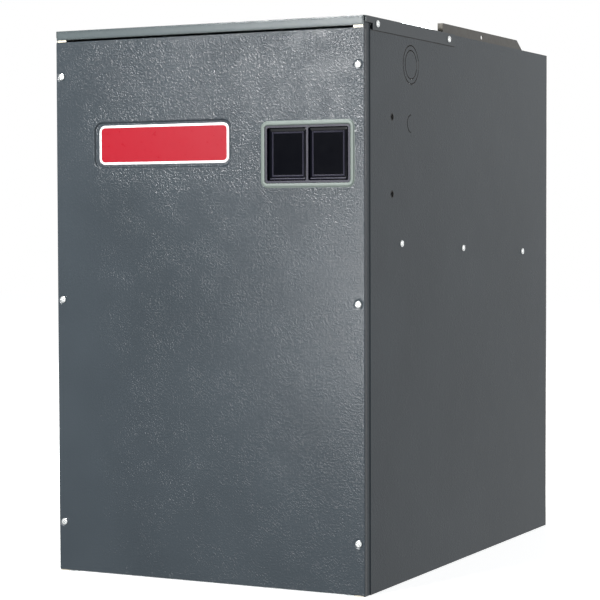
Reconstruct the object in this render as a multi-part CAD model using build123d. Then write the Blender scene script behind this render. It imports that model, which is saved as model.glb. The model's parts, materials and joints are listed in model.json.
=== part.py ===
from build123d import *
import math
import os

# Cabinet sizes in millimetres. The front faces -Y, the bottom stands at Z = 0.
cabinet_width = 480.0
cabinet_depth = 700.0
cabinet_height = 762.0
sheet = 1.0                  # painted outer steel
inner_sheet = 1.2            # bare galvanised steel inside
fit_gap = 0.2                # free gap round a part that lifts out

# Front edge of the side panels
front_return = 15.0          # flange that the access panel screws to
rear_return = 18.0
strip_depth = 17.5           # joggled strip behind the access panel's edge
panel_return = 5.6           # folded edge of the access panel
panel_floor_gap = 1.5
panel_top_gap = 15.5         # below the cabinet's top

# Screws
head_radius = 4.8
head_height = 2.6
shank_radius = 2.1
shank_length = 13.0
hole_gap = 0.1
panel_screw_inset = 9.0
panel_screw_low = 70.0
panel_screw_drop = 64.0
dimple_radius = 7.0
dimple_floor = 5.4
dimple_depth = 0.5
rear_screw_low = 60.0
rear_screw_drop = 62.0
deck_screw_rises = (25.5, 17.0, 9.0)         # the row slopes down to the rear
deck_screw_depths = (0.17, 0.487, 0.839)     # as parts of the cabinet's depth

# Top front cover
lip_inset = 1.0
lip_height = 9.6
tab_height = 17.2
tab_front = 24.6
tab_rear = 308.0
tab_screw_front = 38.6
tab_screw_rear = 283.8
tab_screw_drop = 8.5
notch_width = 6.0

# Knock-outs and wiring holes in the side panels
knockout_depth = 151.8
knockout_drop = 54.2
knockout_outer = 26.2
knockout_inner = 19.5
pilot_depth = 151.5
pilot_drop = 134.6
pilot_radius = 11.9
slit = 0.9
slit_bridge = 14.0           # degrees of sheet left across a slit
wiring_hole_radius = 4.0
wiring_hole_depth = 88.2
wiring_hole_drops = (231.8, 128.4)

# Supply duct flanges
collar_height = 13.0
collar_drop = 26.0
collar_front = 267.0
collar_rear_gap = 113.4      # from the cabinet's back
collar_chamfer = 21.6
collar_hook = 8.0
duct_hole_radius = 3.2
duct_hole_depth = 416.6
duct_hole_rise = 5.0
partition_depth = 232.0
partition_flange = 15.0
partition_chamfer = 11.0

# Base and blower deck
rail_width = 30.0
rail_height = 22.0
deck_height = 438.0
deck_flange = 34.0
deck_front_gap = 22.0
deck_front_lip = 20.0

# Blower
wheel_radius = 127.0
wheel_width = 250.0
wheel_depth = 360.0          # wheel axis behind the cabinet's front
wheel_height = 225.0
blade_count = 36
blade_depth = 18.0
blade_sheet = 0.8
rim_width = 8.0
rim_sheet = 2.0
cutoff_gap = 10.0
cutoff_reach = 44.0
cutoff_rise = 4.0
scroll_step = 24.0
scroll_sheet = 1.0
scroll_seam = 4.0
scroll_side_gap = 11.0
outlet_front = 80.0
hang_gap = 1.6
hang_flange = 16.0
inlet_radius = 106.0
inlet_bend = 8.0
inlet_flange = 20.0
inlet_lip = 10.0
blower_flange = 12.0

# Motor
motor_radius = 70.0
motor_start = 35.0
motor_length = 130.0
motor_bell = 15.0
shaft_radius = 6.35
shaft_gap = 0.05
hub_radius = 16.0
hub_length = 40.0
arm_count = 3
arm_width = 16.0
arm_sheet = 2.5
arm_grip = 26.0              # length of an arm along the motor
arm_foot = 10.0              # from an arm's bolt to its end
arm_bolt_inset = 6.0
arm_stand = 5.5              # height of the arms' feet over the side plate
grommet_radius = 8.0
band_width = 16.0
arm_band_inset = 2.0
capacitor_radius = 22.0
capacitor_length = 76.0
capacitor_rise = 12.0        # clear of the inlet ring
strap_ear = 12.0
strap_width = 16.0

# Access panel pressings
badge_size = (206.0, 54.5)
badge_corner = 9.0
badge_offset = (2.1, 0.4)    # of the plate in its recess
recess_shift = -67.8         # from the cabinet's middle
recess_drop = 161.7
recess_size = (216.0, 63.0)
recess_corner = 12.0
recess_depth = 2.6
window_inset = 84.2
window_drop = 178.8
window_size = (126.4, 77.0)
window_corner = 4.0
window_rim = 5.0
window_proud = 1.2
window_lip = 5.0
bezel_wall = 3.0
bezel_depth = 9.4
cover_sheet = 2.0
cover_setback = 2.2
cover_skirt = 4.0
cover_margin = (6.0, 8.0)    # from a cover's edge to its raised frame
blanket = 12.0
blanket_gap = 9.0            # round the window

# Controls and electric heater
control_depth = 92.0
control_rise = 38.0          # above the deck
control_drop = 62.0          # below the top
control_flange = 18.0
foot_width = 240.0
foot_depth = 14.0
breaker_width = 50.8
breaker_height = 76.0
breaker_length = 58.0
toggle_radius = 7.0
toggle_reach = 20.0
toggle_width = 36.0
toggle_tilt = 18.0
heater_width = 300.0
heater_height = 200.0
element_rise = 40.0
element_pitch = 60.0
elements_across = 4
element_radius = 6.0
element_length = 262.0
element_stub = 8.0
insulator_wall = 1.6
insulator_stand = 2.0
rack_rod_radius = 2.5
rack_side = 24.0             # from the outer elements to the rods
rack_strap = 22.0
rack_end = 20.0
limit_radius = 12.0
limit_height = 9.0
limit_foot = (36.0, 20.0, 1.5)
sequencer_size = (34.0, 30.0, 30.0)
sequencer_pitch = 86.0

# Circuit board, terminals and transformer
board_size = (140.0, 110.0, 1.6)
board_shift = -20.0
board_rise = 27.0            # of the board's middle above the control panel's middle
standoff = 10.0
standoff_radius = 3.5
standoff_inset = 6.0
relay_size = (22.0, 28.0, 20.0)
relay_pitch = 32.0
relay_count = 3
relay_inset = 10.0
terminal_size = (100.0, 14.0, 14.0)
terminal_count = 8
terminal_pocket = (8.0, 6.0)
terminal_inset = 8.0
transformer_gap = 33.0       # from the side panel
transformer_size = (70.0, 60.0, 38.0)
transformer_rise = 17.0
transformer_foot = 10.0
limb_width = 8.0
core_window = 16.0
coil_wall = 6.0

half_width = cabinet_width / 2
side_face = half_width - sheet
side_inner = side_face - sheet
scroll_width = wheel_width + 2 * scroll_side_gap
panel_screw_heights = (panel_screw_low, (panel_screw_low + cabinet_height - panel_screw_drop) / 2 + 1,
                       cabinet_height - panel_screw_drop)
rear_screw_heights = (rear_screw_low, (rear_screw_low + cabinet_height - rear_screw_drop) / 2,
                      cabinet_height - rear_screw_drop)
deck_screw_places = tuple((cabinet_depth * part, deck_height + rise)
                          for part, rise in zip(deck_screw_depths, deck_screw_rises))
tab_screw_places = (tab_screw_front, tab_screw_rear)
knockout_height = cabinet_height - knockout_drop
knockout_radii = (knockout_outer, knockout_inner)
pilot_height = cabinet_height - pilot_drop
wiring_hole_heights = tuple(cabinet_height - drop for drop in wiring_hole_drops)
collar_rear = cabinet_depth - collar_rear_gap
recess_centre = (recess_shift, cabinet_height - recess_drop)
badge_centre = (recess_centre[0] + badge_offset[0], recess_centre[1] + badge_offset[1])
window_centre = (half_width - window_inset, cabinet_height - window_drop)
control_bottom = deck_height + control_rise
control_top = cabinet_height - control_drop
control_middle = (control_bottom + control_top) / 2
heater_centre = (deck_height + cabinet_height) / 2
element_levels = (heater_centre - element_rise, heater_centre + element_rise)
element_places = tuple(element_pitch * (i - (elements_across - 1) / 2) for i in range(elements_across))
strip_face = side_inner - fit_gap
front = -cabinet_depth / 2
back = cabinet_depth / 2
back_inner = back - sheet
return_face = front + sheet
panel_edge = cabinet_height - sheet
deck_top = deck_height + inner_sheet
panel_top = cabinet_height - panel_top_gap
partition_face = front + partition_depth
collar_top = cabinet_height + collar_height
wheel_y = front + wheel_depth
scroll_half = scroll_width / 2
hang_top = deck_height - inner_sheet - hang_gap
outlet_rear = wheel_radius + cutoff_gap + 3 * scroll_step


def box(x0, x1, y0, y1, z0, z1):
    """Block between two corners."""
    centre = Pos((x0 + x1) / 2, (y0 + y1) / 2, (z0 + z1) / 2)
    return centre * Box(abs(x1 - x0), abs(y1 - y0), abs(z1 - z0))


def rod_x(radius, x0, x1, y, z):
    """Round bar along X."""
    return Pos((x0 + x1) / 2, y, z) * Rot(0, 90, 0) * Cylinder(radius, abs(x1 - x0))


def rod_y(radius, y0, y1, x, z):
    """Round bar along Y."""
    return Pos(x, (y0 + y1) / 2, z) * Rot(90, 0, 0) * Cylinder(radius, abs(y1 - y0))


def mitred(points, thickness):
    """The line of points moved to its left by the thickness, with mitred corners."""
    path = [Vector(*p) for p in points]
    ways = [(b - a).normalized() for a, b in zip(path, path[1:])]
    lefts = [Vector(-w.Y, w.X) for w in ways]
    moved = [path[0] + lefts[0] * thickness]
    for corner, before, after in zip(path[1:-1], lefts, lefts[1:]):
        moved.append(corner + (before + after) * (thickness / (1 + before.dot(after))))
    return moved + [path[-1] + lefts[-1] * thickness]


def bent(points, thickness, length, plane):
    """Sheet folded along a line of points, thick on the line's left, drawn along the plane's normal."""
    ring = [Vector(*p) for p in points] + mitred(points, thickness)[::-1]
    return extrude(plane * make_face(Polyline(*ring, close=True)), length)


def rolled(points, thickness, radius):
    """Section of a sheet with rounded bends, thick on the line's left."""
    line = FilletPolyline(*points, radius=radius)
    return make_face(offset(line, amount=thickness, side=Side.LEFT, closed=True))


def rounded_plate(centre, size, corner, y0, y1):
    """Plate with round corners that faces -Y."""
    outline = Pos(centre[0], centre[1]) * RectangleRounded(size[0], size[1], corner)
    return extrude(Plane.XZ.offset(-y1) * outline, y1 - y0)


def screw_out(x, y, z, direction):
    """Pan head screw with its head's seat at the point and its head on the given side."""
    head = Pos(0, 0, head_height / 2) * Cylinder(head_radius, head_height)
    head = chamfer(head.edges().group_by(Axis.Z)[-1], 0.9)
    shank = Pos(0, 0, -shank_length / 2) * Cylinder(shank_radius, shank_length)
    turned = Plane(origin=(x, y, z), z_dir=direction)
    return turned * (head + shank)


def both_sides(part):
    """The right-hand piece and its mirror image on the left."""
    return [part, mirror(part, about=Plane.YZ)]


def slit_ring(y, z, radius, start, sweep):
    """Narrow arc slot through the right side panel."""
    ring = Circle(radius + slit / 2) - Circle(radius - slit / 2)
    wedge = make_face(Wire([
        Line((0, 0), (2 * radius * math.cos(start), 2 * radius * math.sin(start))),
        CenterArc((0, 0), 2 * radius, math.degrees(start), math.degrees(sweep)),
        Line((2 * radius * math.cos(start + sweep), 2 * radius * math.sin(start + sweep)), (0, 0)),
    ]))
    kept = ring & wedge
    return extrude(Plane.YZ.offset(side_inner - 1) * (Pos(y, z) * kept), sheet + 2)


def side_panel():
    """Right side panel: one sheet with a front return, a joggled front strip and a rear return."""
    points = [
        (strip_face - front_return, return_face),
        (strip_face, return_face),
        (strip_face, front + strip_depth),
        (side_face, front + strip_depth + sheet + fit_gap),
        (side_face, back_inner),
        (side_face - rear_return, back_inner),
    ]
    panel = bent(points, sheet, panel_edge, Plane.XY)
    notch_y = front + tab_front
    panel -= box(side_inner - 2, side_face + 1, notch_y - notch_width, notch_y,
                 cabinet_height - tab_height, cabinet_height - tab_height + lip_height)
    bridge = math.radians(slit_bridge)
    for radius in knockout_radii:
        panel -= slit_ring(front + knockout_depth, knockout_height, radius,
                           bridge, 2 * math.pi - 2 * bridge)
    panel -= slit_ring(front + pilot_depth, pilot_height, pilot_radius, math.pi / 2, math.pi)
    for z in wiring_hole_heights:
        panel -= rod_x(wiring_hole_radius, side_inner - 2, side_face + 2, front + wiring_hole_depth, z)
    for depth, z in deck_screw_places:
        panel -= rod_x(shank_radius + hole_gap, side_inner - 2, side_face + 2, front + depth, z)
    for depth in tab_screw_places:
        panel -= rod_x(shank_radius + hole_gap, side_inner - 2, side_face + 2,
                       front + depth, cabinet_height - tab_screw_drop)
    screw_x = side_face - panel_screw_inset
    for z in panel_screw_heights:
        panel -= rod_y(shank_radius + hole_gap, front - 1, return_face + 3, screw_x, z)
    for z in rear_screw_heights:
        panel -= rod_y(shank_radius + hole_gap, back - 4, back, side_face - rear_return / 2, z)
    return panel


def back_panel():
    """Flat back panel screwed to the side panels' rear returns."""
    panel = box(-side_face, side_face, back_inner, back, 0, panel_edge)
    for x in (side_face - rear_return / 2, rear_return / 2 - side_face):
        for z in rear_screw_heights:
            panel -= rod_y(shank_radius + hole_gap, back - 3, back + 1, x, z)
    return panel


def base_side_rail():
    """Right base rail: angle with its leg on the side panel."""
    start = return_face + sheet
    foot = box(side_inner - rail_width, side_inner, start, back_inner - sheet, 0, inner_sheet)
    leg = box(side_inner - inner_sheet, side_inner, start, back_inner - sheet, 0, rail_height)
    joggle = box(strip_face - sheet, side_inner + 1, start - 1, front + strip_depth + 3, -1, rail_height + 1)
    return foot + leg - joggle


def base_cross_rail(y_wall, inward):
    """Front or rear base rail between the side rails."""
    half = side_inner - rail_width
    foot = box(-half, half, y_wall, y_wall + inward * rail_width, 0, inner_sheet)
    leg = box(-half, half, y_wall, y_wall + inward * inner_sheet, 0, rail_height)
    return foot + leg


def blower_deck():
    """Galvanised pan between the side panels, open over the blower's outlet."""
    start = front + deck_front_gap
    length = back_inner - sheet - start
    points = [(-side_inner, deck_height + deck_flange), (-side_inner, deck_height),
              (side_inner, deck_height), (side_inner, deck_height + deck_flange)]
    deck = bent(points, inner_sheet, length, Plane.XZ.offset(-start - length))
    rim_half = side_inner - inner_sheet
    for y, rise in ((start, deck_front_lip), (start + length - inner_sheet, deck_flange)):
        deck += box(-rim_half, rim_half, y, y + inner_sheet, deck_top, deck_height + rise)
    deck -= box(-scroll_half, scroll_half, wheel_y - outlet_front, wheel_y + outlet_rear - scroll_step / 2,
                deck_height - 1, deck_top + 1)
    for depth, z in deck_screw_places:
        deck -= rod_x(shank_radius + hole_gap, -side_inner - 2, side_inner + 2, front + depth, z)
    return deck


def blower_rail():
    """Right hanging rail under the deck, which the blower's flange slides in."""
    inner = scroll_half + blower_flange + fit_gap
    foot = hang_top - inner_sheet
    points = [(inner + hang_flange, deck_height - inner_sheet), (inner, deck_height - inner_sheet),
              (inner, foot - inner_sheet), (scroll_half + fit_gap, foot - inner_sheet)]
    length = outlet_front + outlet_rear - scroll_step
    return bent(points, inner_sheet, length, Plane.XZ.offset(-wheel_y - outlet_rear + scroll_step))


def top_front_cover():
    """Top cover over the controls with a front lip, a rear lip and two long side tabs."""
    points = [(partition_face, cabinet_height - lip_height - 2), (partition_face, cabinet_height),
              (front, cabinet_height), (front, cabinet_height - lip_height)]
    half = side_face - lip_inset
    cover = bent(points, sheet, 2 * half, Plane.YZ.offset(-half))
    cover -= box(side_inner, half_width, front + lip_inset + sheet, partition_face + 1, 0, panel_edge)
    cover -= box(-side_inner, -half_width, front + lip_inset + sheet, partition_face + 1, 0, panel_edge)
    cover += box(-half_width, half_width, front + lip_inset + sheet, partition_face, panel_edge, cabinet_height)
    for side in (1, -1):
        tab = box(side * side_face, side * half_width, front + tab_front, front + tab_rear,
                  cabinet_height - tab_height, cabinet_height)
        nose = box(side * side_face, side * half_width, front + lip_inset + sheet, front + tab_front,
                   cabinet_height - lip_height + sheet, cabinet_height)
        cover += tab + nose
        for depth in tab_screw_places:
            cover -= rod_x(shank_radius + hole_gap, side * (side_face - 1), side * (half_width + 1),
                           front + depth, cabinet_height - tab_screw_drop)
    return cover


def supply_flange():
    """Right duct flange: upright sheet inside the side panel with a hooked front end."""
    low, high = cabinet_height - collar_drop, collar_top
    y0, y1 = front + collar_front, front + collar_rear
    outline = Polyline((y0, low), (y1, low), (y1, cabinet_height), (y1 - collar_chamfer, high),
                       (y0, high), (y0, low))
    flange = extrude(Plane.YZ.offset(side_inner - sheet) * make_face(outline), sheet)
    flange += box(side_inner - collar_hook, side_inner, y0, y0 + sheet, low, high)
    flange -= rod_x(duct_hole_radius, side_inner - 2, side_inner + 1,
                    front + duct_hole_depth, cabinet_height + duct_hole_rise)
    flange -= rod_x(shank_radius + hole_gap, side_inner - 2, side_inner + 1,
                    front + tab_screw_places[1], cabinet_height - tab_screw_drop)
    return flange


def top_rear_cover():
    """Closes the top behind the supply opening and turns up as the rear duct flange."""
    y0, y1 = front + collar_rear + 1, back_inner - sheet - 1
    half = side_inner - fit_gap
    points = [(y1, panel_edge - tab_height), (y1, panel_edge), (y0, panel_edge), (y0, collar_top)]
    cover = bent(points, sheet, 2 * half, Plane.YZ.offset(-half))
    for side in (1, -1):
        corner = Polyline((side * (half + 1), collar_top + 1), (side * (half - collar_height), collar_top + 1),
                          (side * (half + 1), cabinet_height), (side * (half + 1), collar_top + 1))
        cover -= extrude(Plane.XZ.offset(-y0 - 3) * make_face(corner), 6)
    return cover


def partition_wall():
    """Galvanised wall between the controls and the air stream; its top is the front duct flange."""
    half = side_inner - inner_sheet - fit_gap
    top_half = side_inner - partition_chamfer
    low = deck_height + deck_flange + 1
    right_edge = [(half, deck_top), (half, low), (side_inner, low), (side_inner, cabinet_height + 2),
                  (top_half, collar_top)]
    left_edge = [(-x, z) for x, z in reversed(right_edge)]
    outline = make_face(Polyline(*right_edge, *left_edge, close=True))
    wall = extrude(Plane.XZ.offset(-partition_face - inner_sheet) * outline, inner_sheet)
    for side in (1, -1):
        wall += box(side * (side_inner - inner_sheet), side * side_inner,
                    partition_face - partition_flange, partition_face, low,
                    cabinet_height - lip_height - 4)
    wall -= box(-heater_width / 2 + partition_flange, heater_width / 2 - partition_flange,
                partition_face - 1, partition_face + inner_sheet + 1,
                heater_centre - heater_height / 2 + partition_flange,
                heater_centre + heater_height / 2 - partition_flange)
    return wall


def insulation_right():
    """Foil faced blankets on the right side panel, below and above the deck."""
    x0 = side_inner - blanket
    low = box(x0, side_inner, front + 20, back - 15, rail_height + 1, deck_height - 1)
    high = box(x0, side_inner, partition_face + inner_sheet + 1, back - 15,
               deck_height + deck_flange + 1, cabinet_height - collar_drop - 1)
    return [low, high]


def insulation_back():
    """Foil faced blankets on the back panel, below and above the deck."""
    half = side_face - rear_return - 1
    low = box(-half, half, back_inner - blanket, back_inner, rail_height + 1, deck_height - 1)
    high = box(-half, half, back_inner - blanket, back_inner,
               deck_height + deck_flange + 1, panel_edge - tab_height - 1)
    return [low, high]


def scroll_arcs(grow):
    """Blower scroll as three quarter arcs that step outwards, and the point where each ends."""
    step = scroll_step
    r1 = wheel_radius + cutoff_gap + step / 2
    c1 = (wheel_y - step / 2, wheel_height - step / 2)
    c2 = (c1[0] + step, c1[1])
    c3 = (c2[0], c2[1] + step)
    arcs = [CenterArc(c1, r1 + grow, 90, 90), CenterArc(c2, r1 + step + grow, 180, 90),
            CenterArc(c3, r1 + 2 * step + grow, 270, 90)]
    start = (c1[0], c1[1] + r1 + grow)
    end = (c3[0] + r1 + 2 * step + grow, c3[1])
    return arcs, start, end


def blower_side():
    """Right side plate of the scroll, with a hanging flange and the inlet hole."""
    arcs, start, end = scroll_arcs(scroll_seam)
    top_rear = (end[0], hang_top)
    top_front = (wheel_y - outlet_front - scroll_seam, hang_top)
    outline = Wire(arcs + [Line(end, top_rear), Line(top_rear, top_front), Line(top_front, start)])
    plate = extrude(Plane.YZ.offset(scroll_half - scroll_sheet) * make_face(outline), scroll_sheet)
    plate += box(scroll_half, scroll_half + blower_flange, top_front[0] + 6, end[0] - 6,
                 hang_top - inner_sheet, hang_top)
    plate -= rod_x(inlet_radius + inlet_bend, scroll_half - 4, scroll_half + 4, wheel_y, wheel_height)
    for y, z in arm_places():
        plate -= rod_x(shank_radius + hole_gap, scroll_half - 4, scroll_half + 4, y, z)
    return plate


def scroll_wrap():
    """Sheet that wraps the scroll between the side plates, up to the outlet."""
    inner, start_in, end_in = scroll_arcs(0)
    outer, start_out, end_out = scroll_arcs(scroll_sheet)
    top_in, top_out = (end_in[0], hang_top), (end_out[0], hang_top)
    outline = Wire(inner + [Line(end_in, top_in), Line(top_in, top_out), Line(top_out, end_out)]
                   + outer + [Line(start_out, start_in)])
    half = scroll_half - scroll_sheet
    return extrude(Plane.YZ.offset(-half) * make_face(outline), 2 * half)


def cutoff_plate():
    """Cut-off with a rolled nose close to the wheel, from the scroll's start to the outlet."""
    start = scroll_arcs(0)[1]
    points = [(start[0] + 0.1, start[1]), (start[0] + cutoff_reach, start[1] + cutoff_rise),
              (wheel_y - outlet_front, hang_top)]
    half = scroll_half - scroll_sheet
    return extrude(Plane.YZ.offset(-half) * rolled(points, scroll_sheet, 5), 2 * half)


def inlet_ring():
    """Rolled inlet ring on the right side plate, curved in towards the wheel."""
    face = scroll_half + scroll_sheet
    points = [(face - inlet_lip, inlet_radius)]
    for turn in (0, 30, 60, 90):
        angle = math.radians(turn)
        points.append((face - inlet_bend * (1 - math.sin(angle)),
                       inlet_radius + inlet_bend * (1 - math.cos(angle))))
    points.append((face, inlet_radius + inlet_flange))
    section = [Vector(*p) for p in points] + mitred(points, scroll_sheet)[::-1]
    shape = revolve(Plane.XZ * make_face(Polyline(*section, close=True)), Axis.X)
    shape = Pos(0, wheel_y, wheel_height) * shape
    for y, z in arm_places():
        shape -= rod_x(shank_radius + hole_gap, scroll_half - 4, scroll_half + 4, y, z)
    return shape


def blade():
    """One forward curved blade, the full width of the wheel."""
    inner, tip = wheel_radius - blade_depth, wheel_radius - rim_sheet
    lean = math.radians(7)
    turn = blade_sheet / (wheel_radius - blade_depth / 2)

    def at(radius, angle):
        return (radius * math.cos(angle), radius * math.sin(angle))

    middle = (inner + tip) / 2
    face = make_face(Wire([
        ThreePointArc(at(inner, 0), at(middle, lean * 0.2), at(tip, lean)),
        Line(at(tip, lean), at(tip, lean + turn)),
        ThreePointArc(at(tip, lean + turn), at(middle, lean * 0.2 + turn), at(inner, turn)),
        Line(at(inner, turn), at(inner, 0)),
    ]))
    return extrude(Plane.YZ.offset(-wheel_width / 2) * face, wheel_width)


def wheel_blades():
    """The forward curved blades of the double inlet wheel."""
    one = blade()
    return [Pos(0, wheel_y, wheel_height) * Rot(360 / blade_count * i, 0, 0) * one for i in range(blade_count)]


def wheel_end_rings():
    """Rings round the blades' ends."""
    rings = []
    for x in (-wheel_width / 2, wheel_width / 2 - rim_width):
        ring = rod_x(wheel_radius, x, x + rim_width, wheel_y, wheel_height)
        ring -= rod_x(wheel_radius - rim_sheet, x - 1, x + rim_width + 1, wheel_y, wheel_height)
        rings.append(ring)
    return rings


def wheel_disc():
    """Centre disc inside the blades, with six lightening holes."""
    half = inner_sheet / 2
    disc = rod_x(wheel_radius - blade_depth, -half, half, wheel_y, wheel_height)
    disc -= rod_x(hub_radius + shaft_gap, -1, 1, wheel_y, wheel_height)
    reach = 0.55 * wheel_radius
    for i in range(6):
        turn = math.radians(60 * i)
        disc -= rod_x(14, -1, 1, wheel_y + reach * math.cos(turn), wheel_height + reach * math.sin(turn))
    return disc


def wheel_hub():
    """Bored hub seated against the wheel's disc."""
    half = inner_sheet / 2
    hub = rod_x(hub_radius, -hub_length / 2, hub_length / 2, wheel_y, wheel_height)
    hub += rod_x(hub_radius + 10, half, half + 3, wheel_y, wheel_height)
    hub -= rod_x(shaft_radius + shaft_gap, -hub_length, hub_length, wheel_y, wheel_height)
    return hub


def motor_shaft():
    """Motor shaft through the hub."""
    return rod_x(shaft_radius, -hub_length / 2 - 3, motor_start + motor_bell + 10, wheel_y, wheel_height)


def motor_shell():
    """Motor body between its end bells, bored for the shaft."""
    x0, x1 = motor_start + motor_bell, motor_start + motor_length - motor_bell
    shell = rod_x(motor_radius, x0, x1, wheel_y, wheel_height)
    shell -= rod_x(shaft_radius + shaft_gap, x0 - 1, x0 + 11, wheel_y, wheel_height)
    return shell


def motor_bells():
    """The two end bells, domed, with vent slots and a bearing boss."""
    bells = []
    for start, way in ((motor_start + motor_bell, -1), (motor_start + motor_length - motor_bell, 1)):
        bell = Pos(0, 0, motor_bell / 2) * Cylinder(motor_radius, motor_bell)
        bell = chamfer(bell.edges().group_by(Axis.Z)[-1], motor_bell * 0.7, motor_bell * 0.35)
        bell += Pos(0, 0, motor_bell) * Cylinder(20, 6)
        for i in range(8):
            bell -= Rot(0, 0, 45 * i) * Pos(0.68 * motor_radius, 0, motor_bell) * Box(22, 9, 8)
        if way < 0:
            bell -= Cylinder(shaft_radius + shaft_gap, 6 * motor_bell)
        bells.append(Pos(start, wheel_y, wheel_height) * Rot(0, 90 * way, 0) * bell)
    return bells


def arm_places():
    """Where the motor arms bolt to the inlet side, as Y and Z."""
    reach = inlet_radius + inlet_flange - arm_bolt_inset
    angles = [math.radians(90 + 360 / arm_count * i) for i in range(arm_count)]
    return [(wheel_y + reach * math.cos(a), wheel_height + reach * math.sin(a)) for a in angles]


def arm_seat():
    """Height of the arms' feet above the side plate, where the grommets stand."""
    return scroll_half + scroll_sheet + arm_stand


def motor_arms():
    """Bent straps that carry the motor from the inlet side."""
    bolt = inlet_radius + inlet_flange - arm_bolt_inset
    reach = bolt + arm_foot
    seat = arm_seat()
    points = [(seat - arm_grip, motor_radius), (seat, motor_radius), (seat, reach)]
    strap = bent(points, arm_sheet, arm_width, Plane.XZ.offset(-arm_width / 2))
    strap -= Pos(seat, 0, bolt) * Rot(0, 90, 0) * Cylinder(shank_radius + hole_gap, 4 * arm_stand)
    return [Pos(0, wheel_y, wheel_height) * Rot(360 / arm_count * i, 0, 0) * strap
            for i in range(arm_count)]


def motor_grommets():
    """Rubber grommets between the arms' feet and the side plate."""
    rings = []
    for y, z in arm_places():
        ring = rod_x(grommet_radius, scroll_half + scroll_sheet, arm_seat() - arm_sheet, y, z)
        ring -= rod_x(shank_radius + hole_gap, scroll_half, arm_seat() + 2, y, z)
        rings.append(ring)
    return rings


def motor_band():
    """Belly band that clamps the arms on the motor."""
    inner = math.hypot(motor_radius + arm_sheet, arm_width / 2) + hole_gap
    x0 = arm_seat() - arm_grip + arm_band_inset
    band = rod_x(inner + inner_sheet, x0, x0 + band_width, wheel_y, wheel_height)
    band -= rod_x(inner, x0 - 1, x0 + band_width + 1, wheel_y, wheel_height)
    return band


def run_capacitor():
    """Motor capacitor can that lies on the blower's side."""
    y0 = wheel_y - capacitor_length / 2
    return rod_y(capacitor_radius, y0, y0 + capacitor_length, capacitor_x(), capacitor_z())


def capacitor_x():
    """Axis of the capacitor, outside the blower's left side plate."""
    return -scroll_half - capacitor_radius - inner_sheet - hole_gap


def capacitor_z():
    """Height of the capacitor, above the inlet ring."""
    return wheel_height + inlet_radius + inlet_flange + capacitor_radius + capacitor_rise


def capacitor_strap():
    """Strap round the capacitor with its feet on the blower's side."""
    x, z = capacitor_x(), capacitor_z()
    y0, y1 = wheel_y - strap_width / 2, wheel_y + strap_width / 2
    reach = capacitor_radius + strap_ear
    strap = rod_y(capacitor_radius + hole_gap + inner_sheet, y0, y1, x, z)
    strap += box(-scroll_half - inner_sheet, -scroll_half, y0, y1, z - reach, z + reach)
    strap -= rod_y(capacitor_radius + hole_gap, y0 - 1, y1 + 1, x, z)
    return strap


def access_panel():
    """Front panel: a shallow pan with a badge recess and a rimmed window for the breaker covers."""
    low, high = panel_floor_gap, panel_top
    inner = front + sheet
    rear = front + panel_return
    panel = box(-side_face, side_face, front, inner, low, high)
    for side in (1, -1):
        panel += box(side * (side_face - sheet), side * side_face, inner, rear, low, high)
    half = strip_face - front_return - 1
    for z in (low, high - sheet):
        panel += box(-half, half, inner, rear, z, z + sheet)
    floor = front + recess_depth
    wide = (recess_size[0] + 2 * sheet, recess_size[1] + 2 * sheet)
    panel += rounded_plate(recess_centre, wide, recess_corner + sheet, inner, floor + sheet)
    panel -= rounded_plate(recess_centre, recess_size, recess_corner, front - 1, floor)
    rim_size = (window_size[0] + 2 * window_rim, window_size[1] + 2 * window_rim)
    panel += rounded_plate(window_centre, rim_size, window_corner + window_rim, front - window_proud, front)
    lip_size = (window_size[0] + 2 * sheet, window_size[1] + 2 * sheet)
    panel += rounded_plate(window_centre, lip_size, window_corner + sheet, inner, inner + window_lip)
    panel -= rounded_plate(window_centre, window_size, window_corner, front - 5, inner + window_lip + 1)
    for side in (1, -1):
        for z in panel_screw_heights:
            place = Plane(origin=(side * (side_face - panel_screw_inset), front, z), z_dir=(0, -1, 0))
            panel -= place * Pos(0, 0, -dimple_depth / 2) * Cone(dimple_floor, dimple_radius, dimple_depth)
            panel -= place * Cylinder(shank_radius + 1, 4 * sheet)
    return panel


def panel_screws():
    """Six screws that hold the access panel on the front returns."""
    return [screw_out(side * (side_face - panel_screw_inset), front + dimple_depth, z, (0, -1, 0))
            for side in (1, -1) for z in panel_screw_heights]


def panel_insulation():
    """Blanket on the access panel's back, cut out round the recess and the window."""
    half = strip_face - front_return - 2
    inner = front + sheet
    pad = box(-half, half, inner, inner + blanket, rail_height + 3, panel_top - 8)
    window_cut = (window_size[0] + 2 * blanket_gap, window_size[1] + 2 * blanket_gap)
    pad -= rounded_plate(window_centre, window_cut, 6, inner - 1, inner + blanket + 1)
    recess_cut = (recess_size[0] + 2 * sheet + 2, recess_size[1] + 2 * sheet + 2)
    pad -= rounded_plate(recess_centre, recess_cut, recess_corner + 2, inner - 1,
                         front + recess_depth + sheet)
    return pad


def badge_plate():
    """Blank badge plate on the floor of the recess."""
    floor = front + recess_depth
    return rounded_plate(badge_centre, badge_size, badge_corner, floor - 1.4, floor)


def bezel_size():
    """Outer size of the breaker bezel inside the window."""
    return (window_size[0] - 2 * fit_gap, window_size[1] - 2 * fit_gap)


def cover_opening():
    """Width and height of each of the two openings in the bezel."""
    size = bezel_size()
    return ((size[0] - 3 * bezel_wall) / 2, size[1] - 2 * bezel_wall)


def cover_centres():
    """Centres of the two covers, left then right."""
    step = (cover_opening()[0] + bezel_wall) / 2
    return [(window_centre[0] - step, window_centre[1]), (window_centre[0] + step, window_centre[1])]


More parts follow.
